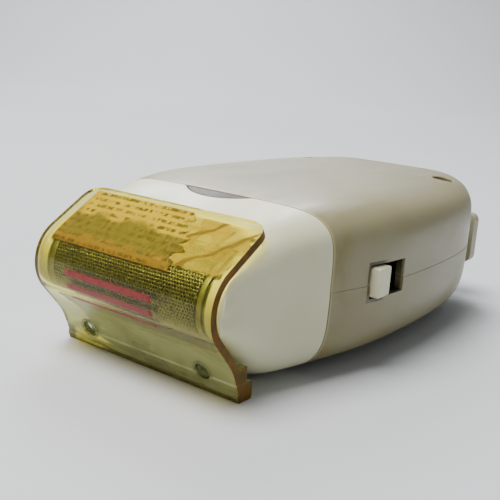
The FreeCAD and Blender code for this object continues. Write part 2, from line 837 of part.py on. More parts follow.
frame_plate = block_across("frame_width / 2", (PIVOT + " - frame_front", CORE_BACK + " - frame_gap"),
                           ("frame_floor", "frame_floor + plate"))
uprights = mirrored_pair(lambda side: box((side + UPRIGHT_X + " - upright_thickness / 2",
                                           side + UPRIGHT_X + " + upright_thickness / 2"),
                                          (PIVOT + " - upright_front", PIVOT + " + upright_back"),
                                          ("frame_floor + plate", "bridge_level")))
pads = joined(*[box((side + STATOR_X + " - pad_size / 2", side + STATOR_X + " + pad_size / 2"),
                    (CORE_BACK + spot + " - pad_size / 2", CORE_BACK + spot + " + pad_size / 2"),
                    ("frame_floor + plate", CORE_LOW)) for side, spot in STATOR_SPOTS])
keep(cut(joined(frame_plate, uprights, pads), at_frame("0", "small_screw + thread_play", "through"),
         at_stator("frame_floor", "small_screw", "through"),
         rod("z", ("0", PIVOT, "0"), "bush_radius", "bridge_level")),
     "motor_frame")
keep(cut(block_across("frame_width / 2", (PIVOT + " - bridge_depth / 2", PIVOT + " + bridge_depth / 2"),
                      ("bridge_level", BRIDGE_TOP)),
         rod("z", ("0", PIVOT, "bridge_level - 1"), "bush_radius", "through"),
         at_uprights("bridge_level - 1", "bridge_screw", "through")),
     "bearing_bridge")


def bush(low, high):
    """Sleeve that the pivot pin turns in."""
    return cut(rod("z", ("0", PIVOT, low), "bush_radius", "(%s) - (%s)" % (high, low)),
               rod("z", ("0", PIVOT, low + " - 1"), "pivot_radius + pivot_play", "through"))


keep(joined(bush("frame_floor", "frame_floor + plate + bush_collar"),
            bush("bridge_level - bush_collar", BRIDGE_TOP)), "pivot_bushes")
keep(joined(at_uprights(BRIDGE_TOP, "bridge_head", "bridge_head_height"),
            at_uprights("bridge_level", "bridge_screw", "plate")), "bridge_screws")
keep(joined(at_frame("screw_root", "small_screw", "frame_floor + plate - screw_root"),
            at_frame("frame_floor + plate", "pan_radius", "pan_height")), "frame_screws")
core = cut(block_across("armature_width / 2 + air_gap + pole_width",
                        (CORE_BACK + " - core_length", CORE_BACK), (CORE_LOW, CORE_HIGH)),
           block_across("armature_width / 2 + air_gap",
                        (CORE_BACK + " - core_length - 1", CORE_BACK + " - yoke_depth"),
                        (CORE_LOW + " - 1", CORE_HIGH + " + 1")),
           at_stator("frame_floor", "small_screw + thread_play", "through"))
keep(core, "stator_core")
keep(joined(at_stator("frame_floor + stator_screw_root", "small_screw",
                      CORE_HIGH + " - frame_floor - stator_screw_root"),
            at_stator(CORE_HIGH, "stator_pan_radius", "pan_height")), "stator_screws")
YOKE_Y = (CORE_BACK + " - yoke_depth - bobbin_wall", CORE_BACK + " + bobbin_wall")
YOKE_Z = (CORE_LOW + " - bobbin_wall", CORE_HIGH + " + bobbin_wall")
COIL_HALF = "(armature_width / 2 + air_gap - bobbin_play)"
yoke_hole = block_across("frame_width / 2", (CORE_BACK + " - yoke_depth", CORE_BACK), (CORE_LOW, CORE_HIGH))


def grown(pair, amount):
    """Both limits moved outwards by a formula."""
    return ("(%s) - (%s)" % (pair[0], amount), "(%s) + (%s)" % (pair[1], amount))


tube = block_across(COIL_HALF, YOKE_Y, YOKE_Z)
flanges = [box((side + COIL_HALF + inner, side + COIL_HALF + outer),
               grown(YOKE_Y, "winding_thickness"), grown(YOKE_Z, "winding_thickness"))
           for side, inner, outer in (("-", "", " + bobbin_wall"), ("", " - bobbin_wall", ""))]
keep(cut(joined(tube, *flanges), yoke_hole), "coil_bobbin")
keep(cut(block_across(COIL_HALF + " - bobbin_wall", grown(YOKE_Y, "winding_thickness - coil_reveal"),
                      grown(YOKE_Z, "winding_thickness - coil_reveal")),
         block_across("frame_width / 2", YOKE_Y, YOKE_Z)), "coil_winding")

LEVER_Z = ("nose_height - lever_thickness / 2", "nose_height + lever_thickness / 2")
LEVER_TIP = NOSE_Y + " + lever_front"
keep(rod("z", ("0", PIVOT, "frame_floor"), "pivot_radius", BRIDGE_TOP + " - frame_floor"), "pivot_pin")
lever = joined(block_across("lever_width / 2", (LEVER_TIP, PIVOT + " + lever_tail"), LEVER_Z),
               rod("z", ("0", PIVOT, "nose_height - hub_height / 2"), "hub_radius", "hub_height"))
keep(cut(lever, rod("z", ("0", PIVOT, "0"), "pivot_radius", "through"),
         rod("y", ("0", LEVER_TIP + " - 1", "nose_height"), "drive_pin_shank", "drive_pin_root + 1")),
     "drive_lever")
keep(joined(rod("y", ("0", LEVER_TIP + " + drive_pin_root - drive_pin_length", "nose_height"),
                "drive_pin_radius", "drive_pin_length - drive_pin_root"),
            rod("y", ("0", LEVER_TIP, "nose_height"), "drive_pin_shank", "drive_pin_root")), "drive_pin")
keep(cut(block_across("armature_width / 2",
                      (PIVOT + " + armature_setback", PIVOT + " + armature_setback + armature_length"),
                      (CORE_LOW, CORE_HIGH)),
         block_across("lever_width / 2", (PIVOT, PIVOT + " + lever_tail"), LEVER_Z),
         rod("z", ("0", PIVOT, "0"), "hub_radius", "through")), "armature_core")
SPRING_X = "(lever_width / 2 + return_spring_gap)"
keep(mirrored_pair(lambda side: box(
    (side + SPRING_X + " - return_spring / 2", side + SPRING_X + " + return_spring / 2"),
    (BULKHEAD + " + bulkhead_thickness", PIVOT + " - return_spring_end"),
    ("nose_height - return_spring_height / 2", "nose_height + return_spring_height / 2"))), "return_springs")

# ---------------------------------------------------------------- switch

INNER = "(body_width / 2 - knob_root)"
KNOB_Y = (SLOT + " + knob_gap", SLOT + " + knob_gap + knob_length")
KNOB_Z = ("switch_level - slot_height / 2 + knob_gap", "switch_level + slot_height / 2 - knob_gap")


def rounded(block, chosen, radius):
    """Block with the chosen edges rounded."""
    doc.recompute()
    soft = doc.addObject("Part::Fillet", "soft")
    soft.Base = block
    soft.Edges = [(i, value(radius), value(radius)) for i, edge in enumerate(block.Shape.Edges, start=1)
                  if chosen(edge.BoundBox)]
    return soft


knob = box((INNER, "body_width / 2 + knob_proud"), KNOB_Y, KNOB_Z)
face = value("body_width / 2 + knob_proud") - 0.01
keep(rounded(knob, lambda bounds: bounds.XMax > face, "knob_edge"), "switch_knob")
keep(box((INNER + " - carriage_thickness", INNER), grown(KNOB_Y, "carriage_overlap"),
         grown(KNOB_Z, "carriage_height_overlap")), "switch_carriage")
CONTACT_X = "(%s - carriage_thickness - contact_thickness)" % INNER
keep(box((CONTACT_X, CONTACT_X + " + contact_thickness"), grown(KNOB_Y, "-contact_inset"),
         ("switch_level - contact_height / 2", "switch_level + contact_height / 2")), "moving_contact")
FIXED_X = CONTACT_X + " - contact_gap - contact_thickness"
keep(joined(*[box((FIXED_X, FIXED_X + " + contact_thickness"), (spot, spot + " + contact_width"),
                  ("switch_level - contact_height / 2", "switch_level + contact_height / 2"))
              for spot in (KNOB_Y[0] + " - contact_inset", KNOB_Y[0] + " - contact_inset + contact_pitch")]),
     "fixed_contacts")
BASE_X = (FIXED_X + " - switch_base_thickness", FIXED_X)
keep(box(BASE_X, grown(KNOB_Y, "switch_base_overlap"), grown(KNOB_Z, "switch_base_height_overlap")),
     "switch_base")

# ---------------------------------------------------------------- inlet

PLATE_Y = (TAIL + " + plate_proud - inlet_plate", TAIL + " + plate_proud")
INLET_Z = ("inlet_level - inlet_height / 2", "inlet_level + inlet_height / 2")
SOCKET_FLOOR = "(overall_length / 2 - socket_depth)"
plate_block = block_across("inlet_width / 2", PLATE_Y, INLET_Z)
plate = rounded(plate_block, lambda bounds: bounds.YLength > 1, "inlet_edge")
neck = block_across("inlet_width / 2 - inlet_neck", (TAIL + " - inlet_neck_length", PLATE_Y[0]),
                    grown(INLET_Z, "-inlet_neck"))


def at_pins(start, radius, length):
    """Two cylinders on the inlet pins' axes."""
    return mirrored_pair(lambda side: rod("y", (side + "inlet_pin_spacing / 2", start, "inlet_level"),
                                          radius, length))


socket = block_across("socket_width / 2", (SOCKET_FLOOR, TAIL + " + plate_proud + 1"),
                      ("inlet_level - socket_height / 2", "inlet_level + socket_height / 2"))
keep(cut(joined(plate, neck), socket, at_pins(TAIL + " - inlet_pin_root", "inlet_pin_shank", "through")),
     "inlet_housing")
keep(joined(at_pins(TAIL + " - inlet_pin_root", "inlet_pin_shank",
                    SOCKET_FLOOR + " - (" + TAIL + " - inlet_pin_root)"),
            at_pins(SOCKET_FLOOR, "inlet_pin_radius", "inlet_pin_length")), "inlet_pins")

# ---------------------------------------------------------------- wiring

keep(rod("y", ("-capacitor_offset", PIVOT + " + capacitor_setback", "nose_height"), "capacitor_radius",
         "capacitor_length"), "suppressor_capacitor")


def lead(spots, radius, bend):
    """Insulated wire along straight runs with rounded corners."""
    edges, here = [], spots[0]
    for corner, after in zip(spots[1:-1], spots[2:]):
        into, out = (corner - here).normalize(), (after - corner).normalize()
        first, last = corner - into * bend, corner + out * bend
        middle = corner + (out - into).normalize() * bend * (math.sqrt(2) - 1)
        edges += [Part.LineSegment(here, first).toShape(), Part.Arc(first, middle, last).toShape()]
        here = last
    edges.append(Part.LineSegment(here, spots[-1]).toShape())
    path = Part.Wire(edges)
    start = edges[0].tangentAt(edges[0].FirstParameter)
    ring = Part.Wire(Part.Circle(spots[0], start, radius).toShape())
    return path.makePipeShell([ring], True, False)


pin_x, level = value("inlet_pin_spacing / 2 + inlet_pin_shank"), value("inlet_level")
pin_y = value(TAIL + " - inlet_neck_length - 2 * lead_radius")
alley = value("frame_width / 2 - lead_clearance")
bend_y = value(CORE_BACK + " - lead_turn_setback")


def lead_route(side, far_x, far_y):
    """Out from a pin's tail, forward between the core and the screw post, then to its terminal."""
    return [Vector(side * pin_x, pin_y, level), Vector(side * alley, pin_y, level),
            Vector(side * alley, bend_y, level), Vector(side * far_x, bend_y, level),
            Vector(side * far_x, far_y, level)]


def wired(route):
    return solid(lead(route, value("lead_radius"), value("lead_bend")))


keep(wired(lead_route(1, value(BASE_X[0] + " + switch_base_thickness / 2"),
                      value(KNOB_Y[1] + " + switch_base_overlap"))), "lead_live")
keep(wired(lead_route(-1, value("capacitor_offset"),
                      value(PIVOT + " + capacitor_setback + capacitor_length"))), "lead_neutral")

# ---------------------------------------------------------------- write the sub-parts

doc.recompute()
failed = [item.Name for item in doc.Objects if "Invalid" in item.State or "Error" in item.State]
if failed:
    raise SystemExit("failed: " + ", ".join(failed))
os.makedirs("parts", exist_ok=True)
for item in parts:
    if item.Shape.isNull() or not item.Shape.isValid() or not item.Shape.Solids:
        raise SystemExit("bad shape: " + item.Label)
    item.Shape.exportStep("parts/%s.step" % item.Label)
    print("%-22s %2d solids %9.1f mm3" % (item.Label, len(item.Shape.Solids), item.Shape.Volume))
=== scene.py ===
import json
import math

import bmesh
import bpy
from mathutils import Matrix, Vector, noise


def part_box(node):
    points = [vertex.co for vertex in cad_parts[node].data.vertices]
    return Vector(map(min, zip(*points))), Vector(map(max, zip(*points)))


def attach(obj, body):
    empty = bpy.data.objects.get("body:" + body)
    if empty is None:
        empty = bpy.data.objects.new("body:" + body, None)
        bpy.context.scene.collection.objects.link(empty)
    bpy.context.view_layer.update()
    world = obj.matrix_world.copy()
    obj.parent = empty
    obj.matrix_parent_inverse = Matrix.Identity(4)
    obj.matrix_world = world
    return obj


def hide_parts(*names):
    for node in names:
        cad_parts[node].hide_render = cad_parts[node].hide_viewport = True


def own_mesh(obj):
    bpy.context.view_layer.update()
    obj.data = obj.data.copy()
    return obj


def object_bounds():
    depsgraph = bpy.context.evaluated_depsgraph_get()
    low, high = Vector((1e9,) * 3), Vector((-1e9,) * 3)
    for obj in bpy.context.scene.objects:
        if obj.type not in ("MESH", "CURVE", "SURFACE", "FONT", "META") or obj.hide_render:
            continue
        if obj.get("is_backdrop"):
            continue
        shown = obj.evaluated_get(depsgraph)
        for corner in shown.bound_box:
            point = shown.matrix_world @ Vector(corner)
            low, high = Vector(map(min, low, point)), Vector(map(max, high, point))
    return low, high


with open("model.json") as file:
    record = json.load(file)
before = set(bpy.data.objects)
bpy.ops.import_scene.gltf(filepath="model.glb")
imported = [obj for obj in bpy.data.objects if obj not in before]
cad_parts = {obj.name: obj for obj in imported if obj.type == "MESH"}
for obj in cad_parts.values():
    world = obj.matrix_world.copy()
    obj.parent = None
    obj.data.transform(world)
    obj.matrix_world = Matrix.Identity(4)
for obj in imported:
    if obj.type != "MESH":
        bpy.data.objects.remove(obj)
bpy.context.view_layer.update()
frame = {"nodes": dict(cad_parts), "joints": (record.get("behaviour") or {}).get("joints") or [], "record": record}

MM = 0.001


def box_mm(node):
    """Lowest and highest corner of a CAD node, in millimetres."""
    low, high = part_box(node)
    return low / MM, high / MM


def joint(name):
    """A joint of the frame, by its name."""
    return next(entry for entry in frame["joints"] if entry["name"] == name)


def scaled(shade, share):
    """A colour made darker or lighter by a share, its parts kept within one."""
    return tuple(min(1.0, part * share) for part in shade)


GUARD_LOW, GUARD_HIGH = box_mm("head_guard")
FOIL_LOW, FOIL_HIGH = box_mm("shaver_foil")
STUD_RIGHT = box_mm("guard_studs")[1].x
LABEL_LEFT = box_mm("guard_label")[0].x
SEAM = box_mm("head_frame")[1].y
NOSE_LEVEL = joint("armature_swing")["pos_m"][2] / MM

# ---------------------------------------------------------------- camera

SENSOR_WIDTH, LENS = 36.0, 56.46
CLIP_METRES = 0.01, 20.0
VIEW_PLACE = Vector((105.2, -156.9, 63.2))
VIEW_TURN, VIEW_DIP, VIEW_ROLL = math.radians(36.873), math.radians(13.926), math.radians(3.902)

camera_data = bpy.data.cameras.new("camera")
camera_data.sensor_width = SENSOR_WIDTH
camera_data.lens = LENS
camera_data.clip_start, camera_data.clip_end = CLIP_METRES
camera = bpy.data.objects.new("camera", camera_data)
bpy.context.scene.collection.objects.link(camera)
camera.matrix_world = (
    Matrix.Translation(VIEW_PLACE * MM)
    @ Matrix.Rotation(VIEW_TURN, 4, "Z")
    @ Matrix.Rotation(math.pi / 2 - VIEW_DIP, 4, "X")
    @ Matrix.Rotation(VIEW_ROLL, 4, "Z"))
bpy.context.scene.camera = camera


# ---------------------------------------------------------------- node helpers


class Material:
    """A procedural material: one principled shader and the pattern nodes that feed it."""

    def __init__(self, name, **sockets):
        """Sets sockets of the shader by their names, with _ for a space."""
        self.material = bpy.data.materials.new(name)
        self.material.use_nodes = True
        self.tree = self.material.node_tree
        self.shader = self.tree.nodes["Principled BSDF"]
        for socket, setting in sockets.items():
            self.shader.inputs[socket.replace("_", " ")].default_value = setting
        self.place = self.node("ShaderNodeTexCoord").outputs["Object"]

    def node(self, kind, **settings):
        """New node of a kind with its settings."""
        made = self.tree.nodes.new(kind)
        for key, setting in settings.items():
            setattr(made, key, setting)
        return made

    def feed(self, socket, source):
        """Joins an output, or sets a plain number or colour."""
        if isinstance(source, bpy.types.NodeSocket):
            self.tree.links.new(source, socket)
        else:
            socket.default_value = source

    def noise(self, size, detail=3.0, stretch=None, rough=0.5, twist=0.0):
        """Noise whose features are about size millimetres across."""
        made = self.node("ShaderNodeTexNoise")
        source = self.place
        if stretch:
            mapping = self.node("ShaderNodeMapping")
            mapping.inputs["Scale"].default_value = stretch
            self.feed(mapping.inputs["Vector"], source)
            source = mapping.outputs["Vector"]
        self.feed(made.inputs["Vector"], source)
        self.feed(made.inputs["Scale"], 1 / (size * MM))
        self.feed(made.inputs["Detail"], detail)
        self.feed(made.inputs["Roughness"], rough)
        self.feed(made.inputs["Distortion"], twist)
        return made.outputs["Fac"]

    def span(self, source, low, high, to_low=0.0, to_high=1.0):
        """Source mapped from one range to another, smoothly and clamped."""
        made = self.node("ShaderNodeMapRange", interpolation_type="SMOOTHSTEP")
        for socket, setting in zip(("Value", "From Min", "From Max", "To Min", "To Max"),
                                   (source, low, high, to_low, to_high)):
            self.feed(made.inputs[socket], setting)
        return made.outputs["Result"]

    def sum(self, kind, first, second=0.0):
        """Result of a kind of arithmetic on two values, or on one where it takes one."""
        made = self.node("ShaderNodeMath", operation=kind)
        self.feed(made.inputs[0], first)
        self.feed(made.inputs[1], second)
        return made.outputs[0]

    def mix(self, amount, first, second):
        """Colour between two, from all of the first at zero to all of the second at one."""
        made = self.node("ShaderNodeMix", data_type="RGBA")
        self.feed(made.inputs[0], amount)
        for socket, source in ((made.inputs[6], first), (made.inputs[7], second)):
            self.feed(socket, (*source, 1) if isinstance(source, tuple) else source)
        return made.outputs[2]

    def axis(self, name):
        """One object-space coordinate, in metres."""
        made = self.node("ShaderNodeSeparateXYZ")
        self.feed(made.inputs[0], self.place)
        return made.outputs[name]

    def bump(self, height, depth, strength=0.5):
        """Bump of a depth in millimetres, added to what the shader has already."""
        made = self.node("ShaderNodeBump")
        self.feed(made.inputs["Height"], height)
        made.inputs["Distance"].default_value = depth * MM
        made.inputs["Strength"].default_value = strength
        normal = self.shader.inputs["Normal"]
        if normal.is_linked:
            self.feed(made.inputs["Normal"], normal.links[0].from_socket)
        self.feed(normal, made.outputs["Normal"])

    def colour(self, source):
        """Sets the base colour."""
        self.feed(self.shader.inputs["Base Color"], source)

    def roughness(self, source):
        """Sets the roughness."""
        self.feed(self.shader.inputs["Roughness"], source)


# ---------------------------------------------------------------- materials

PRINT_PITCH = 0.95
RUBBED_LEVEL, STAINED_LEVEL = 29.3, 26.3
MILKY_LEVEL, BEAD_TOP = 8.5, 3.3
FOLD_PITCH, FOLD_SLANT = 9.0, -1.1
MILK = (0.56, 0.58, 0.24)
# Painted highlight above the guard's bead, and painted shade along its foot at the floor.
BEAD_HIGHLIGHT = (0.86, 0.88, 0.42)
FOOT_SHADE = (0.20, 0.15, 0.035)
AMBER = (0.185, 0.078, 0.006)
# Painted highlight along the shell's front edge at the seam.
SEAM_HIGHLIGHT = (0.40, 0.355, 0.175)
# Colour of the painted shade inside the switch slot.
SLOT_SHADE = (0.045, 0.032, 0.014)
SLOT_ROOM, SLOT_REACH, SLOT_FADE = 1.2, 8.2, 0.1


def in_slot(made):
    """One on the walls of the switch slot, where shade is painted, fading out at the outside of the case."""
    low, high = box_mm("switch_knob")
    sideways = made.axis("X")
    share = made.sum("MULTIPLY",
                     made.span(sideways, (high.x - 1.35) * MM, (high.x - 1.0) * MM, 1.0, 0.0),
                     made.span(sideways, 0.0, low.x / 2 * MM))
    for name, start, end in (("Y", low.y - SLOT_ROOM, high.y + SLOT_REACH),
                             ("Z", low.z - SLOT_ROOM, high.z + SLOT_ROOM)):
        place = made.axis(name)
        for step in (made.span(place, start * MM, (start + SLOT_FADE) * MM),
                     made.span(place, (end - SLOT_FADE) * MM, end * MM, 1.0, 0.0)):
            share = made.sum("MULTIPLY", share, step)
    return share


def ribbed(name, base, groove_shade, pitch=1.0):
    """Dark plastic with upright ribs across the way it slides, their grooves painted darker as shade."""
    made = Material(name, IOR=1.49)
    along = made.sum("MULTIPLY", made.axis("Y"), 2 * math.pi / (pitch * MM))
    rib = made.span(made.sum("SINE", along), -0.3, 0.5)
    dust = made.span(made.noise(1.2, detail=4), 0.4, 0.65, 0.0, 0.4)
    # The grooves take the painted shade and the ridges the plain colour; dust lightens patches.
    made.colour(made.mix(dust, made.mix(rib, groove_shade, base), scaled(base, 1.5)))
    made.roughness(made.span(made.noise(3, detail=3), 0.3, 0.7, 0.4, 0.6))
    made.bump(rib, 0.4, 0.8)
    return made.material


def plastic(name, base, stained, gloss=0.36, seam_tint=None):
    """Old moulded plastic: mottled colour, fine speckle, faint scratches and uneven gloss; with a seam tint it
    also gets a stain by the seam, a painted highlight along the shell's edge at the seam and painted shade in the
    switch slot.
    """
    made = Material(name, IOR=1.49, Subsurface_Weight=0.06, Subsurface_Scale=0.004)
    clouds = made.noise(28, detail=4, twist=0.4)
    shade = made.mix(made.span(clouds, 0.42, 0.72), base, stained)
    if seam_tint:
        near_seam = made.span(made.axis("Y"), (SEAM + 0.2) * MM, (SEAM + 7.5) * MM, 1.0, 0.0)
        patches = made.span(made.noise(9, detail=5, twist=0.8), 0.38, 0.68)
        shade = made.mix(made.sum("MULTIPLY", near_seam, patches), shade, seam_tint)
        # A thin painted highlight along the shell's front edge, just behind the seam.
        rim_highlight = made.span(made.axis("Y"), (SEAM + 0.3) * MM, (SEAM + 0.8) * MM, 0.65, 0.0)
        shade = made.mix(rim_highlight, shade, SEAM_HIGHLIGHT)
        # Painted shade on the walls of the switch slot.
        shade = made.mix(in_slot(made), shade, SLOT_SHADE)
    specks = made.span(made.noise(0.5, detail=1), 0.70, 0.76, 0.0, 0.25)
    shade = made.mix(specks, shade, scaled(base, 0.72))
    edge = made.span(made.node("ShaderNodeNewGeometry").outputs["Pointiness"], 0.50, 0.56, 0.0, 0.35)
    shade = made.mix(edge, shade, scaled(base, 1.18))
    made.colour(shade)
    smears = made.noise(14, detail=6, stretch=(1, 0.3, 1), twist=1.2)
    made.roughness(made.span(smears, 0.3, 0.75, gloss - 0.08, gloss + 0.14))
    made.bump(made.noise(0.35, detail=2), 0.02, 0.25)
    made.bump(made.span(made.noise(1.6, detail=8, stretch=(9, 0.7, 4), rough=0.7), 0.66, 0.70), 0.02, 0.2)
    return made.material


def metal(name, base, gloss, grain=(30, 1, 30), tarnish=None):
    """Sheet or turned metal with a drawn grain and some tarnish."""
    made = Material(name, Metallic=1.0)
    lines = made.noise(1.5, detail=4, stretch=grain)
    shade = made.mix(made.span(lines, 0.3, 0.7), base, scaled(base, 0.82))
    if tarnish:
        shade = made.mix(made.span(made.noise(5, detail=5), 0.52, 0.72), shade, tarnish)
    made.colour(shade)
    made.roughness(made.span(made.noise(3, detail=4), 0.3, 0.7, gloss - 0.08, gloss + 0.1))
    made.bump(lines, 0.01, 0.3)
    return made.material


def rubber(name, base, rough=0.7):
    """Matt rubber or soft plastic with a fine grain."""
    made = Material(name, IOR=1.5)
    made.colour(made.mix(made.span(made.noise(6), 0.35, 0.7), base, scaled(base, 1.35)))
    made.roughness(made.span(made.noise(2), 0.3, 0.7, rough - 0.08, rough + 0.1))
    made.bump(made.noise(0.25, detail=2), 0.03, 0.4)
    return made.material


def winding(name):
    """Enamelled copper wire laid in close turns."""
    made = Material(name, Metallic=1.0)
    patches = made.span(made.noise(2, detail=4), 0.35, 0.7)
    made.colour(made.mix(patches, (0.48, 0.17, 0.07), (0.62, 0.27, 0.12)))
    made.roughness(made.span(made.noise(4), 0.3, 0.7, 0.25, 0.4))
    return made.material


def clear(name, tint, density, cut_ends=True, haze=0.02, milky=0.5):
    """Clear plastic that has yellowed and absorbs along its depth: a little milky, with amber cut ends, a painted
    highlight above the bead and painted shade along the foot.
    """
    made = Material(name, IOR=1.49, Transmission_Weight=1.0, Specular_Tint=(0.3, 0.3, 0.26, 1))
    clouds = made.noise(9, detail=3)
    made.colour(made.mix(made.span(clouds, 0.4, 0.75), (0.97, 0.97, 0.93), (0.95, 0.94, 0.82)))
    made.roughness(made.span(made.noise(6, detail=3), 0.4, 0.75, haze, haze + 0.05))
    made.bump(made.noise(11, detail=1), 0.10, 0.12)
    surface = made.shader.outputs[0]

    def blend_in(amount, shader):
        """The surface so far, with an amount of another shader over it."""
        mixer = made.node("ShaderNodeMixShader")
        made.feed(mixer.inputs[0], amount)
        made.feed(mixer.inputs[1], surface)
        made.feed(mixer.inputs[2], shader)
        return mixer.outputs[0]

    milk = made.node("ShaderNodeBsdfDiffuse")
    level = made.axis("Z")
    cloudy = made.mix(clouds, MILK, scaled(MILK, 0.8))
    # A painted highlight along the top of the bead, then painted shade along the foot where it meets the floor.
    bead_highlight = made.sum("MULTIPLY", made.span(level, BEAD_TOP * MM, (BEAD_TOP + 0.3) * MM),
                          made.span(level, (BEAD_TOP + 0.5) * MM, (BEAD_TOP + 0.9) * MM, 1.0, 0.0))
    cloudy = made.mix(bead_highlight, cloudy, BEAD_HIGHLIGHT)
    cloudy = made.mix(made.span(level, 0.7 * MM, 1.5 * MM, 0.85, 0.0), cloudy, FOOT_SHADE)
    made.feed(milk.inputs["Color"], cloudy)
    thick_with_it = made.span(level, MILKY_LEVEL * MM, (MILKY_LEVEL + 6.0) * MM, milky, 0.02)
    amount = made.sum("MULTIPLY", thick_with_it, made.span(clouds, 0.3, 0.7, 0.7, 1.1))
    surface = blend_in(amount, milk.outputs[0])
    see_through = made.node("ShaderNodeBsdfTransparent")
    see_through.inputs["Color"].default_value = (0.80, 0.78, 0.52, 1)
    surface = blend_in(made.node("ShaderNodeLightPath").outputs["Is Shadow Ray"], see_through.outputs[0])
    if cut_ends:
        end = made.node("ShaderNodeBsdfPrincipled")
        end.inputs["Roughness"].default_value = 0.5
        end.inputs["Specular IOR Level"].default_value = 0.15
        patches = made.span(made.noise(3.5, detail=4), 0.35, 0.7)
        made.feed(end.inputs["Base Color"], made.mix(patches, AMBER, scaled(AMBER, 0.5)))
        facing = made.node("ShaderNodeSeparateXYZ")
        made.feed(facing.inputs[0], made.node("ShaderNodeTexCoord").outputs["Normal"])
        outer = made.span(made.sum("ABSOLUTE", made.axis("X")), (GUARD_HIGH.x - 1.4) * MM,
                          (GUARD_HIGH.x - 0.7) * MM)
        right = made.span(facing.outputs["X"], 0.5, 0.9, 0.0, 0.88)
        left = made.span(facing.outputs["X"], -0.9, -0.5, 0.45, 0.0)
        surface = blend_in(made.sum("MULTIPLY", made.sum("ADD", left, right), outer), end.outputs[0])
    output = made.tree.nodes["Material Output"]
    made.feed(output.inputs["Surface"], surface)
    depth = made.node("ShaderNodeVolumeAbsorption")
    depth.inputs["Color"].default_value = (*tint, 1)
    depth.inputs["Density"].default_value = density
    made.feed(output.inputs["Volume"], depth.outputs[0])
    return made.material


def paper(name):
    """Aged label paper: ochre, browned at its edges, rubbed grey low down, its print worn to specks."""
    made = Material(name, IOR=1.45)
    patches = made.span(made.noise(8, detail=5), 0.35, 0.7)
    shade = made.mix(patches, (0.43, 0.325, 0.018), (0.36, 0.255, 0.015))
    level = made.axis("Z")
    rows = made.sum("SINE", made.sum("MULTIPLY", level, 2 * math.pi / (PRINT_PITCH * MM)))
    dashes = made.noise(0.9, detail=4, stretch=(1.2, 0.55, 0.55), rough=0.7)
    inked = made.sum("MULTIPLY", made.span(rows, -0.2, 0.2), made.span(dashes, 0.47, 0.51))
    worn = made.span(made.noise(5, detail=3), 0.36, 0.46)
    uneven = made.sum("ADD", level, made.sum("MULTIPLY", made.noise(5, detail=4), 3.0 * MM))
    low = made.span(uneven, RUBBED_LEVEL * MM, (RUBBED_LEVEL + 1.0) * MM, 0.85, 0.0)
    rubbed = made.mix(made.span(dashes, 0.42, 0.58), (0.050, 0.042, 0.028), (0.024, 0.020, 0.014))
    shade = made.mix(low, shade, rubbed)
    foot = made.span(uneven, STAINED_LEVEL * MM, (STAINED_LEVEL + 0.5) * MM, 0.9, 0.0)
    shade = made.mix(foot, shade, (0.17, 0.085, 0.012))
    left = made.span(made.axis("X"), LABEL_LEFT * MM, (LABEL_LEFT + 2.2) * MM, 0.45, 0.0)
    shade = made.mix(left, shade, (0.30, 0.14, 0.015))
    made.colour(made.mix(made.sum("MULTIPLY", inked, worn), shade, (0.045, 0.022, 0.012)))
    made.roughness(made.span(dashes, 0.3, 0.7, 0.6, 0.85))
    made.bump(made.noise(0.4, detail=4), 0.06, 0.5)
    return made.material


def adhesive(name):
    """Dried glue left where the label has torn away: yellow, with brown folds across it."""
    made = Material(name, IOR=1.45, Roughness=0.35)
    patches = made.noise(7, detail=4, twist=0.6)
    shade = made.mix(made.span(patches, 0.38, 0.62), (0.47, 0.375, 0.025), (0.34, 0.235, 0.015))
    across = made.sum("ADD", made.axis("X"), made.sum("MULTIPLY", made.axis("Y"), FOLD_SLANT))
    wander = made.sum("ADD", across, made.sum("MULTIPLY", made.noise(5, detail=4), 5 * MM))
    folds = made.sum("SINE", made.sum("MULTIPLY", wander, 2 * math.pi / (FOLD_PITCH * MM)))
    fold = made.span(folds, 0.80, 0.97)
    streaks = made.noise(1.2, detail=4, stretch=(0.25, 1.2, 1.2), twist=0.5)
    shade = made.mix(made.span(streaks, 0.5, 0.62, 0.0, 0.6), shade, (0.25, 0.15, 0.012))
    made.colour(made.mix(fold, shade, (0.10, 0.045, 0.008)))
    thick = made.span(patches, 0.40, 0.62, 0.35, 0.9)
    pale = made.span(made.axis("X"), 15 * MM, 21 * MM)
    thinned = made.sum("SUBTRACT", 1.0, made.sum("MULTIPLY", pale, 0.6))
    cover = made.sum("MAXIMUM", made.sum("MULTIPLY", thick, thinned), made.sum("MULTIPLY", fold, 0.9))
    made.feed(made.shader.inputs["Alpha"], cover)
    made.bump(patches, 0.05, 0.4)
    return made.material


def paint(name, base):
    """Thin print or paint, worn in small spots; also a flat dark colour for painted shade."""
    made = Material(name, IOR=1.5)
    wear = made.noise(0.6, detail=4)
    made.colour(made.mix(made.span(wear, 0.45, 0.7), base, scaled(base, 0.7)))
    made.roughness(made.span(wear, 0.3, 0.7, 0.3, 0.5))
    made.bump(wear, 0.02, 0.3)
    return made.material


IVORY = plastic("ivory_plastic", (0.645, 0.635, 0.435), (0.61, 0.59, 0.37))
# Darker copy of the ivory: painted shade on the inlet housing at the rear.
TAB_IVORY_SHADED = plastic("tab_plastic_shaded", (0.34, 0.325, 0.215), (0.30, 0.28, 0.16))
BEIGE = plastic("beige_plastic", (0.252, 0.228, 0.127), (0.228, 0.198, 0.094),
                seam_tint=(0.200, 0.163, 0.050))
CATCH_GREY = plastic("catch_plastic", (0.085, 0.075, 0.066), (0.06, 0.052, 0.042), gloss=0.62)
GREY = plastic("grey_plastic", (0.30, 0.31, 0.30), (0.26, 0.26, 0.24), gloss=0.5)
SWITCH_DARK = plastic("switch_plastic", (0.055, 0.04, 0.028), (0.08, 0.055, 0.03), gloss=0.5)
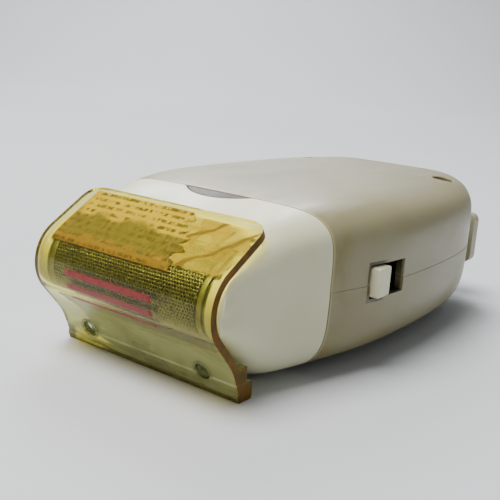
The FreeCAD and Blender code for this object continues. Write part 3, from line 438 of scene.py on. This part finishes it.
# Switch carriage: ribs with painted shade in their grooves.
SWITCH_RIBS = ribbed("switch_ribs", (0.085, 0.058, 0.028), (0.016, 0.011, 0.006))
BOBBIN = plastic("bobbin_plastic", (0.62, 0.55, 0.38), (0.55, 0.46, 0.30), gloss=0.5)
CAPACITOR = plastic("capacitor_case", (0.36, 0.20, 0.06), (0.30, 0.15, 0.05), gloss=0.3)
GUARD = clear("clear_guard", (0.95, 0.92, 0.42), 900.0)
LIP = clear("clear_lip", (0.955, 0.93, 0.60), 300.0, cut_ends=False, milky=0.25)
STUD = clear("clear_stud", (0.55, 0.72, 0.45), 600.0, cut_ends=False, milky=0.1)
PAPER = paper("label_paper")
GLUE = adhesive("label_glue")
STRIPE = paint("red_print", (0.24, 0.004, 0.003))
FOIL = metal("foil_steel", (0.20, 0.20, 0.145), 0.40, grain=(1, 1, 1), tarnish=(0.15, 0.145, 0.095))
FOIL_EDGE = metal("foil_edge_steel", (0.30, 0.31, 0.23), 0.55, grain=(1, 1, 1), tarnish=(0.22, 0.21, 0.14))
# A dark sheet of painted shade for an opening in the foil.
APERTURE_SHADE = paint("aperture_shade", (0.03, 0.028, 0.018))
BLADE = metal("blade_steel", (0.30, 0.30, 0.29), 0.34)
SPRING = metal("spring_steel", (0.42, 0.42, 0.44), 0.35)
SCREW = metal("screw_steel", (0.52, 0.50, 0.46), 0.35, grain=(8, 8, 1), tarnish=(0.36, 0.30, 0.20))
ZINC = metal("zinc_steel", (0.55, 0.56, 0.55), 0.42, grain=(4, 4, 4))
CORE = metal("core_steel", (0.24, 0.24, 0.26), 0.5, grain=(1, 1, 60))
BRASS = metal("brass", (0.72, 0.50, 0.22), 0.30, tarnish=(0.45, 0.30, 0.12))
COPPER = winding("copper_wire")
SEAL = rubber("seal_rubber", (0.035, 0.035, 0.035))
LEAD_BROWN = rubber("lead_brown", (0.16, 0.07, 0.03), 0.5)
LEAD_BLACK = rubber("lead_black", (0.02, 0.02, 0.02), 0.5)

FINISHES = {
    "ivory": IVORY, "foil_steel": FOIL, "clear_guard": GUARD, "clear_stud": STUD, "paper": PAPER,
    "blade_steel": BLADE, "grey_plastic": GREY, "spring_steel": SPRING, "beige": BEIGE,
    "screw_steel": SCREW, "seal_rubber": SEAL, "catch_grey": CATCH_GREY, "zinc_steel": ZINC,
    "brass": BRASS, "core_steel": CORE, "bobbin_plastic": BOBBIN, "copper": COPPER,
    "switch_dark": SWITCH_DARK, "capacitor_case": CAPACITOR, "lead_brown": LEAD_BROWN,
    "lead_black": LEAD_BLACK,
}

# Nodes that look different from the rest of their slot: the inlet housing gets a darker copy of the ivory as
# painted shade, and the switch carriage gets ribs with painted shade in their grooves.
OWN_FINISHES = {"inlet_housing": TAB_IVORY_SHADED, "switch_carriage": SWITCH_RIBS}

# ---------------------------------------------------------------- CAD nodes

WELD_WITHIN = 0.002
EDGE_MOST, EDGE_SHARE = 0.22, 0.12
SLOTS = {entry["node"]: entry["material_slot"] for entry in frame["record"]["subparts"]}


def soften(made, width, limit=40.0, segments=2):
    """Rounds the edges of an object that are sharper than limit degrees."""
    weld = made.modifiers.new("weld", "WELD")
    weld.merge_threshold = WELD_WITHIN * MM
    bevel = made.modifiers.new("bevel", "BEVEL")
    bevel.width = width * MM
    bevel.segments = segments
    bevel.limit_method = "ANGLE"
    bevel.angle_limit = math.radians(limit)
    made.modifiers.new("normals", "WEIGHTED_NORMAL").keep_sharp = False


def shade_smooth(mesh):
    """Smooth shading on every face of a mesh."""
    mesh.polygons.foreach_set("use_smooth", [True] * len(mesh.polygons))


for node_name, node in frame["nodes"].items():
    node.data.materials.clear()
    node.data.materials.append(OWN_FINISHES.get(node_name, FINISHES[SLOTS[node_name]]))
    low, high = box_mm(node_name)
    shade_smooth(node.data)
    if node_name != "catch_spring":
        soften(node, min(EDGE_MOST, EDGE_SHARE * min(high - low)))


# ---------------------------------------------------------------- made pieces


def piece(name, points, faces, material, body):
    """Mesh object from points in millimetres, riding on a body."""
    mesh = bpy.data.meshes.new(name)
    mesh.from_pydata([Vector(p) * MM for p in points], [], faces)
    mesh.validate()
    shade_smooth(mesh)
    mesh.materials.append(material)
    made = bpy.data.objects.new(name, mesh)
    bpy.context.scene.collection.objects.link(made)
    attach(made, body)
    return made


def facing_out(made):
    """Turns all faces of a closed mesh outwards and joins its doubled points."""
    work = bmesh.new()
    work.from_mesh(made.data)
    bmesh.ops.remove_doubles(work, verts=work.verts, dist=0.0005 * MM)
    bmesh.ops.recalc_face_normals(work, faces=work.faces)
    work.to_mesh(made.data)
    work.free()
    return made


def carve(made, tool, operation):
    """Boolean with a tool object, applied; the tool is removed."""
    change = made.modifiers.new("carve", "BOOLEAN")
    change.operation = operation
    change.solver = "EXACT"
    change.object = tool
    bpy.context.view_layer.update()
    seen = made.evaluated_get(bpy.context.evaluated_depsgraph_get())
    mesh = bpy.data.meshes.new_from_object(seen)
    made.modifiers.remove(change)
    made.data = mesh
    bpy.data.objects.remove(tool)
    return made


def outward(turn):
    """Outward direction in the YZ plane, turned by an angle from straight up towards the front."""
    return Vector((0, -math.sin(turn), math.cos(turn)))


def onward(turn):
    """Direction of travel along the profile, from the wing down to the foot."""
    return Vector((0, -math.cos(turn), -math.sin(turn)))


def trace(start, turn, steps, spacing):
    """Points and outward directions along straights ("line", length) and arcs ("arc", radius, end turn)."""
    place, path = start.copy(), [(start.copy(), outward(turn))]
    for step in steps:
        if step[0] == "line":
            count = max(1, round(step[1] / spacing))
            for i in range(count):
                place = place + onward(turn) * (step[1] / count)
                path.append((place.copy(), outward(turn)))
        else:
            radius, end = step[1], step[2]
            centre = place - outward(turn) * radius
            count = max(3, round(abs(radius * (end - turn)) / spacing))
            begin = turn
            for i in range(1, count + 1):
                turn = begin + (end - begin) * i / count
                place = centre + outward(turn) * radius
                path.append((place.copy(), outward(turn)))
    return path


# The guard's profile: wing, round nose, chin, a hollow and the flange down to the floor.
GUARD_RADIUS = 9.0
GUARD_THICK = 1.6
WING_TURN, CHIN_TURN, FLANGE_TURN = math.radians(32), math.radians(130), math.radians(112)
WING_LENGTH, CHIN_LENGTH, HOLLOW = 13.3, 6.5, 10.0
NOSE = Vector((0, GUARD_LOW.y + GUARD_RADIUS, NOSE_LEVEL))


def guard_profile(inset, spacing=0.7):
    """Profile of the guard at a depth below its outside, from the wing's top edge to the floor."""
    start = NOSE + outward(WING_TURN) * GUARD_RADIUS - onward(WING_TURN) * WING_LENGTH
    steps = [("line", WING_LENGTH), ("arc", GUARD_RADIUS, CHIN_TURN), ("line", CHIN_LENGTH),
             ("arc", -HOLLOW, FLANGE_TURN)]
    path = trace(start, WING_TURN, steps, spacing)
    rest = path[-1][0].z / math.sin(FLANGE_TURN)
    path += trace(path[-1][0], FLANGE_TURN, [("line", rest)], spacing)[1:]
    return sunk(path, inset)


def lengths(path):
    """Distance travelled at each point of a path."""
    travelled = [0.0]
    for (a, _), (b, _) in zip(path, path[1:]):
        travelled.append(travelled[-1] + (b - a).length)
    return travelled


def stretch_of(path, low, high):
    """The part of a path between two distances along it."""
    return [spot for spot, distance in zip(path, lengths(path)) if low <= distance <= high]


def sunk(path, depth):
    """A path moved below its surface by a depth."""
    return [(place - out * depth, out) for place, out in path]


def curved_sheet(name, path, depth, reach, columns, material, body):
    """Closed sheet of a thickness along a profile; reach gives its left and right X at each distance."""
    travelled = lengths(path)
    points, faces = [], []
    for layer in (0.0, depth):
        for (place, out), distance in zip(path, travelled):
            left, right = reach(distance)
            for column in range(columns + 1):
                x = left + (right - left) * column / columns
                points.append((x, place.y - out.y * layer, place.z - out.z * layer))
    wide, tall = columns + 1, len(path)
    below = wide * tall

    def at(row, column, layer=0):
        """Number of a point."""
        return layer * below + row * wide + column

    for row in range(tall - 1):
        for column in range(columns):
            quad = (at(row, column), at(row + 1, column), at(row + 1, column + 1), at(row, column + 1))
            faces.append(quad)
            faces.append(tuple(below + v for v in reversed(quad)))
        for column in (0, columns):
            faces.append((at(row, column), at(row + 1, column), at(row + 1, column, 1), at(row, column, 1)))
    for row in (0, tall - 1):
        for column in range(columns):
            faces.append((at(row, column), at(row, column + 1), at(row, column + 1, 1), at(row, column, 1)))
    return facing_out(piece(name, points, faces, material, body))


def block(name, low, high):
    """Plain block, a boolean tool."""
    corners = [(x, y, z) for x in (low[0], high[0]) for y in (low[1], high[1]) for z in (low[2], high[2])]
    faces = [(0, 1, 3, 2), (4, 6, 7, 5), (0, 4, 5, 1), (2, 3, 7, 6), (0, 2, 6, 4), (1, 5, 7, 3)]
    return facing_out(piece(name, corners, faces, GUARD, "guard"))


def prism(name, points):
    """Prism, a boolean tool; its points are those of one end and then those of the other."""
    sides = len(points) // 2
    faces = [tuple(range(sides)), tuple(range(2 * sides - 1, sides - 1, -1))]
    faces += [(i, (i + 1) % sides, sides + (i + 1) % sides, sides + i) for i in range(sides)]
    return facing_out(piece(name, points, faces, GUARD, "guard"))


def square_to(along):
    """Two directions square to one that isn't along X, and to each other."""
    across = along.cross(Vector((1, 0, 0))).normalized()
    return across, along.cross(across)


def drum(name, centre, along, radius, length, sides=32):
    """Cylinder from a centre along a direction, a boolean tool."""
    across, other = square_to(along)
    points = []
    for end in (0.0, length):
        for i in range(sides):
            a = 2 * math.pi * i / sides
            points.append(centre + along * end + (across * math.cos(a) + other * math.sin(a)) * radius)
    return prism(name, points)


def ring(name, centre, along, radius, wire, material, body, sides=40, around=10):
    """Torus about an axis."""
    across, other = square_to(along)
    points, faces = [], []
    for i in range(sides):
        a = 2 * math.pi * i / sides
        out = across * math.cos(a) + other * math.sin(a)
        for j in range(around):
            b = 2 * math.pi * j / around
            points.append(centre + out * (radius + wire * math.cos(b)) + along * wire * math.sin(b))
            faces.append((i * around + j, i * around + (j + 1) % around,
                          (i + 1) % sides * around + (j + 1) % around, (i + 1) % sides * around + j))
    return facing_out(piece(name, points, faces, material, body))


# ---------------------------------------------------------------- head guard

CORNER = 3.5


def guard_reach(distance):
    """Half-width of the guard: its wing has rounded corners."""
    half = GUARD_HIGH.x
    if distance < CORNER:
        half -= CORNER - math.sqrt(CORNER ** 2 - (CORNER - distance) ** 2)
    return -half, half


BEAD_FRONT, BEAD_BACK, BEAD_HEIGHT = 0.35, 3.3, 3.8
FOOT = guard_profile(0.0)[-1][0].y


def foot_bead():
    """Rounded bar along the foot, standing a little in front of the flange."""
    front, back = FOOT - BEAD_FRONT, FOOT + BEAD_BACK
    corners = [(front - 0.55, 2.0), (front - 0.65, 1.3), (front - 0.2, 0.0), (back - 0.3, 0.0), (back, 0.4),
               (back, BEAD_HEIGHT - 0.6), (back - 0.5, BEAD_HEIGHT), (FOOT + 0.2, BEAD_HEIGHT),
               (FOOT - 0.4, 2.6)]
    return prism("bead_tool", [(x, y, z) for x in (-GUARD_HIGH.x, GUARD_HIGH.x) for y, z in corners])


STUD_RADIUS, STUD_LEVEL = 2.0, 4.5
BORE_START, BORE_DEPTH = 2.0, 6.0
LIP_WIRE, LIP_ROOM, LIP_RISE = 0.32, 0.15, 0.1
LUG_WIDTH, LUG_FRONT, LUG_BACK, LUG_FOOT, LUG_TOP = 1.8, 0.6, 1.4, 3.2, 7.0
GUARD_EDGE, GUARD_COLUMNS = 0.32, 24
FLANGE_OUT = outward(FLANGE_TURN)


def stud_seat(side):
    """Middle of a stud on the flange's outside; the side is -1 or 1."""
    return Vector((side * (STUD_RIGHT - STUD_RADIUS), FOOT + STUD_LEVEL / math.tan(FLANGE_TURN), STUD_LEVEL))


def make_guard():
    """The clear head guard: a bent sheet with a bead along its foot, a lug and two bores for studs."""
    made = curved_sheet("guard_shell", guard_profile(0.0), GUARD_THICK, guard_reach, GUARD_COLUMNS, GUARD,
                        "guard")
    carve(made, foot_bead(), "UNION")
    lug = block("lug_tool", (GUARD_HIGH.x - LUG_WIDTH, FOOT - LUG_FRONT, LUG_FOOT),
                (GUARD_HIGH.x, FOOT + LUG_BACK, LUG_TOP))
    carve(made, lug, "UNION")
    for side in (-1, 1):
        start = stud_seat(side) + FLANGE_OUT * BORE_START
        bore = drum("bore_tool", start, -FLANGE_OUT, STUD_RADIUS, BORE_DEPTH)
        carve(made, bore, "DIFFERENCE")
    shade_smooth(made.data)
    soften(made, GUARD_EDGE, limit=35, segments=3)
    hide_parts("head_guard")


make_guard()
for side, label in ((-1, "left"), (1, "right")):
    ring("stud_lip_" + label, stud_seat(side) + FLANGE_OUT * LIP_RISE, FLANGE_OUT, STUD_RADIUS + LIP_ROOM,
         LIP_WIRE, LIP, "guard")

# ---------------------------------------------------------------- foil with its holes

HOLE_PITCH = 0.7
HOLE_SHARE = 0.68
FOIL_INSET = 1.95
FOIL_UPPER, FOIL_LOWER = 6.0, 4.6
FOIL_CHIN_TURN = math.radians(135)
FOIL_THICK = 0.1
SIDE_MARGIN, TOP_MARGIN, FOOT_MARGIN = 1.0, 0.8, 3.6
MARGIN_LAP, MARGIN_SINK = 0.4, 0.03
SPOT_START, SPOT_END, SPOT_LEFT, SPOT_RIGHT = 7.4, 9.0, -15.4, -12.9
SPOT_RISE, SPOT_THICK = 0.1, 0.06


def foil_profile():
    """Profile of the foil, inside the guard's."""
    radius = GUARD_RADIUS - FOIL_INSET
    start = NOSE + outward(WING_TURN) * radius - onward(WING_TURN) * FOIL_UPPER
    steps = [("line", FOIL_UPPER), ("arc", radius, FOIL_CHIN_TURN), ("line", FOIL_LOWER)]
    return trace(start, WING_TURN, steps, 0.25)


def on_path(path, travelled, distance):
    """Point and outward direction at a distance along a path."""
    distance = min(max(distance, 0.0), travelled[-1])
    index = next(i for i in range(1, len(path)) if travelled[i] >= distance - 1e-9)
    share = (distance - travelled[index - 1]) / (travelled[index] - travelled[index - 1])
    (a, out_a), (b, out_b) = path[index - 1], path[index]
    return a.lerp(b, share), out_a.lerp(out_b, share).normalized()


def make_foil():
    """Steel sheet with staggered six-sided holes, plain margins round them, and a dark sheet of painted shade for
    an opening.
    """
    path = foil_profile()
    travelled = lengths(path)
    row_pitch = HOLE_PITCH * math.sqrt(3) / 2
    half = FOIL_HIGH.x - SIDE_MARGIN
    columns = int(2 * half / HOLE_PITCH)
    rows = int((travelled[-1] - TOP_MARGIN - FOOT_MARGIN) / row_pitch)
    turns = [math.radians(30 + 60 * k) for k in range(6)]
    cell = HOLE_PITCH / math.sqrt(3)
    points, faces, seen = [], [], {}

    def corner(u, v):
        """Number of the point at u across and v along the sheet, which cells share."""
        key = (round(u, 3), round(v, 3))
        if key not in seen:
            place, _ = on_path(path, travelled, v)
            seen[key] = len(points)
            points.append((u, place.y, place.z))
        return seen[key]

    def around(u, v, reach):
        """The six points of a hole or cell."""
        return [corner(u + reach * math.cos(t), v + reach * math.sin(t)) for t in turns]

    first = -HOLE_PITCH * (columns - 1) / 2
    for row in range(rows):
        v = TOP_MARGIN + row_pitch * (row + 0.5)
        for column in range(columns - row % 2):
            u = first + HOLE_PITCH * (column + 0.5 * (row % 2))
            outer, inner = around(u, v, cell), around(u, v, cell * HOLE_SHARE)
            faces += [(outer[k], outer[(k + 1) % 6], inner[(k + 1) % 6], inner[k]) for k in range(6)]
    screen = piece("foil_screen", points, faces, FOIL, "head")
    thick = screen.modifiers.new("thickness", "SOLIDIFY")
    thick.thickness = FOIL_THICK * MM
    thick.offset = 0.0
    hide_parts("shaver_foil")
    edge = half - 0.35 * HOLE_PITCH

    def margin(name, low, high, left, right):
        """Plain strip of the sheet."""
        band = sunk(stretch_of(path, low, high), MARGIN_SINK)
        curved_sheet(name, band, FOIL_THICK, lambda d: (left, right), 4, FOIL_EDGE, "head")

    bottom = TOP_MARGIN + row_pitch * rows
    margin("foil_margin_left", 0, travelled[-1], FOIL_LOW.x, -edge)
    margin("foil_margin_right", 0, travelled[-1], edge, FOIL_HIGH.x)
    margin("foil_margin_top", 0, TOP_MARGIN + MARGIN_LAP, -edge, edge)
    margin("foil_margin_foot", bottom - MARGIN_LAP, travelled[-1], -edge, edge)
    # Dark sheet on the foil: painted shade standing for an opening seen through it.
    spot = sunk(stretch_of(path, SPOT_START, SPOT_END), -SPOT_RISE)
    curved_sheet("foil_aperture_shade", spot, SPOT_THICK, lambda d: (SPOT_LEFT, SPOT_RIGHT), 4, APERTURE_SHADE,
                 "head")


make_foil()

# ---------------------------------------------------------------- label, glue and red stripes

LABEL_THICK, GLUE_THICK = 0.1, 0.06
LABEL_START, LABEL_PAST_WING, LABEL_COLUMNS = 0.6, 2.6, 40
GLUE_START, GLUE_PAST_WING, GLUE_COLUMNS = 1.4, 1.0, 30
TEAR_SLOPE, TEAR_AT, TEAR_GAP, TEAR_SHIFT = 0.35, 6.0, 0.5, 0.8
GLUE_RIGHT = 22.6
STRIPE_LEFT, STRIPE_RIGHT, STRIPE_THICK, STRIPE_COLUMNS = -14.5, 9.5, 0.05, 24


def ragged(seed, size, amount):
    """Irregular offset for a torn edge."""
    def offset(distance):
        """The offset at a distance along the edge."""
        spot = Vector((distance / size, seed, 0))
        return amount * (noise.noise(spot) + 0.5 * noise.noise(spot * 2.7) + 0.25 * noise.noise(spot * 6.1))
    return offset


def make_label():
    """What is left of a paper label inside the wing, torn off along its right side."""
    inside = guard_profile(GUARD_THICK + 0.02, 0.3)
    tear = ragged(seed=3.0, size=2.2, amount=3.2)
    wander = ragged(seed=9.0, size=3.0, amount=1.5)

    def label_reach(distance):
        """The label's left edge and its torn right one."""
        return LABEL_LEFT, TEAR_AT + TEAR_SLOPE * distance + tear(distance)

    def glue_reach(distance):
        """The glue's left edge, a little off the tear, and its wandering right one."""
        left = TEAR_AT + TEAR_GAP + TEAR_SLOPE * distance + tear(distance + TEAR_SHIFT)
        return left, GLUE_RIGHT + wander(distance)

    path = stretch_of(inside, LABEL_START, WING_LENGTH + LABEL_PAST_WING)
    sheet = curved_sheet("label_paper", path, LABEL_THICK, label_reach, LABEL_COLUMNS, PAPER,
                         "guard")
    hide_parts("guard_label")
    path = stretch_of(inside, GLUE_START, WING_LENGTH + GLUE_PAST_WING)
    curved_sheet("label_glue", path, GLUE_THICK, glue_reach, GLUE_COLUMNS, GLUE, "guard")


make_label()


def make_stripes():
    """Plain red bars printed on the outside of the guard, each with its start and its height."""
    path = guard_profile(-0.02, 0.15)
    for name, start, height in (("stripe_top", 21.8, 1.5), ("stripe_middle", 24.8, 1.5),
                                ("stripe_foot", 28.2, 0.9)):
        curved_sheet(name, stretch_of(path, start, start + height), STRIPE_THICK,
                     lambda d: (STRIPE_LEFT, STRIPE_RIGHT), STRIPE_COLUMNS, STRIPE, "guard")


make_stripes()

# ---------------------------------------------------------------- catch spring


def make_catch_coil():
    """The catch's spring, copied into an object of its own that rides on the case."""
    spring = frame["nodes"]["catch_spring"]
    coil = bpy.data.objects.new("catch_coil", spring.data.copy())
    coil.matrix_world = spring.matrix_world
    bpy.context.scene.collection.objects.link(coil)
    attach(coil, "case")
    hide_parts("catch_spring")
    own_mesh(coil)


make_catch_coil()

# ---------------------------------------------------------------- floor, backdrop and lights


def make_stage():
    """Pale floor that sweeps up into a backdrop."""
    near, far, bend, width, height = -1600.0, 900.0, 500.0, 3000.0, 2600.0
    below = 0.02
    spots = [(near, 0.0), (far, 0.0)]
    spots += [(far + bend * math.sin(math.radians(a)), bend * (1 - math.cos(math.radians(a))))
              for a in range(5, 91, 5)]
    spots.append((far + bend, height))
    turn = Matrix.Rotation(VIEW_TURN, 4, "Z")
    points = [turn @ Vector((x, y, z - below)) for y, z in spots for x in (-width, width)]
    faces = [(2 * i, 2 * i + 1, 2 * i + 3, 2 * i + 2) for i in range(len(spots) - 1)]
    made = Material("backdrop", IOR=1.4)
    patches = made.span(made.noise(300, detail=2), 0.3, 0.7)
    made.colour(made.mix(patches, (0.60, 0.615, 0.635), (0.62, 0.635, 0.65)))
    made.roughness(made.span(made.noise(40), 0.3, 0.7, 0.75, 0.85))
    mesh = bpy.data.meshes.new("backdrop")
    mesh.from_pydata([p * MM for p in points], [], faces)
    mesh.materials.append(made.material)
    shade_smooth(mesh)
    floor = bpy.data.objects.new("backdrop", mesh)
    bpy.context.scene.collection.objects.link(floor)
    floor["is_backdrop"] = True


make_stage()


def softbox(name, place, aim, size, watts, shade):
    """Square area light aimed at a point; places are in millimetres in the camera's turned frame."""
    data = bpy.data.lights.new(name, "AREA")
    data.size = size * MM
    data.energy = watts
    data.color = shade
    lamp = bpy.data.objects.new(name, data)
    bpy.context.scene.collection.objects.link(lamp)
    turn = Matrix.Rotation(VIEW_TURN, 4, "Z")
    lamp.location = turn @ Vector(place) * MM
    lamp.rotation_mode = "QUATERNION"
    lamp.rotation_quaternion = (turn @ (Vector(aim) - Vector(place))).to_track_quat("-Z", "Y")


softbox("key", place=(-310, -100, 940), aim=(0, 0, 20), size=520, watts=17.0, shade=(1.0, 0.99, 0.97))
softbox("back", place=(-150, 1200, 900), aim=(0, 400, 200), size=700, watts=18.0, shade=(0.97, 0.98, 1.0))

world = bpy.data.worlds.new("world")
world.use_nodes = True
background = world.node_tree.nodes["Background"]
background.inputs["Color"].default_value = (0.86, 0.90, 0.95, 1)
background.inputs["Strength"].default_value = 0.28
bpy.context.scene.world = world

low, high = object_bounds()
